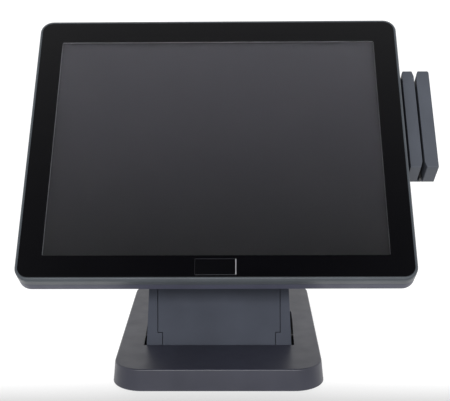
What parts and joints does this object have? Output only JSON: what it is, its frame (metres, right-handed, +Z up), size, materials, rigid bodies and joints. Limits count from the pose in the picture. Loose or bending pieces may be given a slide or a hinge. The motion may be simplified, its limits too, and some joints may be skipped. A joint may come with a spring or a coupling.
{
  "type": "pos touchscreen terminal",
  "caption": "Countertop touchscreen checkout terminal: wide glass display head on a folding, tilting arm, weighted rounded base and a side card swipe reader.",
  "frame": {"origin": "centre of the base on the counter surface", "axes": "+X to the user's right, +Y away from the user, +Z up"},
  "size_m": [0.3829, 0.306, 0.3369],
  "materials": {
    "head_shell": "fine textured graphite",
    "arm_shell": "fine textured graphite",
    "base_shell": "fine textured graphite",
    "reader_shell": "fine textured graphite",
    "black_plastic": "satin black",
    "glass_front": "black printed glass, glossy",
    "badge": "glossy dark plate",
    "rubber": "matt",
    "dark_steel": "black powder coat",
    "zinc_steel": "zinc plated",
    "cast_iron": "raw",
    "brass_parts": "plain",
    "board_green": "solder mask",
    "chip_black": "moulded",
    "alloy": "extruded",
    "port_shell": "nickel plated"
  },
  "bodies": {
    "base": {"base_housing": "base_shell", "base_plate": "dark_steel", "base_pad": "rubber", "ballast_front": "cast_iron", "ballast_rear": "cast_iron", "pocket_tray": "black_plastic", "base_hinge_brackets": "dark_steel", "base_screws": "zinc_steel", "lower_shafts": "zinc_steel", "lower_washers": "brass_parts", "lower_nuts": "zinc_steel"},
    "arm": {"arm_frame": "arm_shell", "arm_front_cover": "arm_shell", "arm_rear_cover": "arm_shell", "arm_core": "dark_steel", "arm_screws": "zinc_steel"},
    "head": {"front_frame": "head_shell", "touch_glass": "glass_front", "badge_plate": "badge", "lcd_panel": "chip_black", "lcd_chassis": "zinc_steel", "rear_cover": "head_shell", "board_standoffs": "brass_parts", "motherboard": "board_green", "processor": "chip_black", "heatsink": "alloy", "memory_module": "board_green", "storage_drive": "alloy", "chassis_screws": "zinc_steel", "speaker_left": "black_plastic", "speaker_right": "black_plastic", "io_panel": "zinc_steel", "io_ports": "port_shell", "io_cover": "head_shell", "cover_screws": "zinc_steel", "head_bracket": "dark_steel", "bracket_screws": "zinc_steel", "upper_shaft": "zinc_steel", "upper_washers": "brass_parts", "upper_nuts": "zinc_steel", "hinge_shroud": "black_plastic", "button_switch": "board_green", "reader_mount": "dark_steel", "reader_inner_bar": "reader_shell", "reader_outer_bar": "reader_shell", "reader_spine": "black_plastic", "reader_board": "board_green", "reader_screws": "zinc_steel"},
    "button": {"power_button": "black_plastic"},
    "read_head": {"read_head": "port_shell"}
  },
  "joints": [
    {"name": "base_fold", "type": "hinge", "parent": "base", "child": "arm", "pos_m": [0, -0.0568, 0.01553], "axis": [-1, 0, 0], "range_deg": [0, 35]},
    {"name": "head_tilt", "type": "hinge", "parent": "arm", "child": "head", "pos_m": [0, -0.01126, 0.19195], "axis": [-1, 0, 0], "range_deg": [-30, 35]},
    {"name": "power_button_press", "type": "slide", "parent": "head", "child": "button", "axis": [1, 0, 0], "range_m": [0, 0.0012], "stiffness_N_per_m": 400, "springref_m": -0.0004},
    {"name": "read_head_float", "type": "slide", "parent": "head", "child": "read_head", "axis": [-1, 0, 0], "range_m": [0, 0.0006], "stiffness_N_per_m": 500, "springref_m": -0.0004}
  ]
}
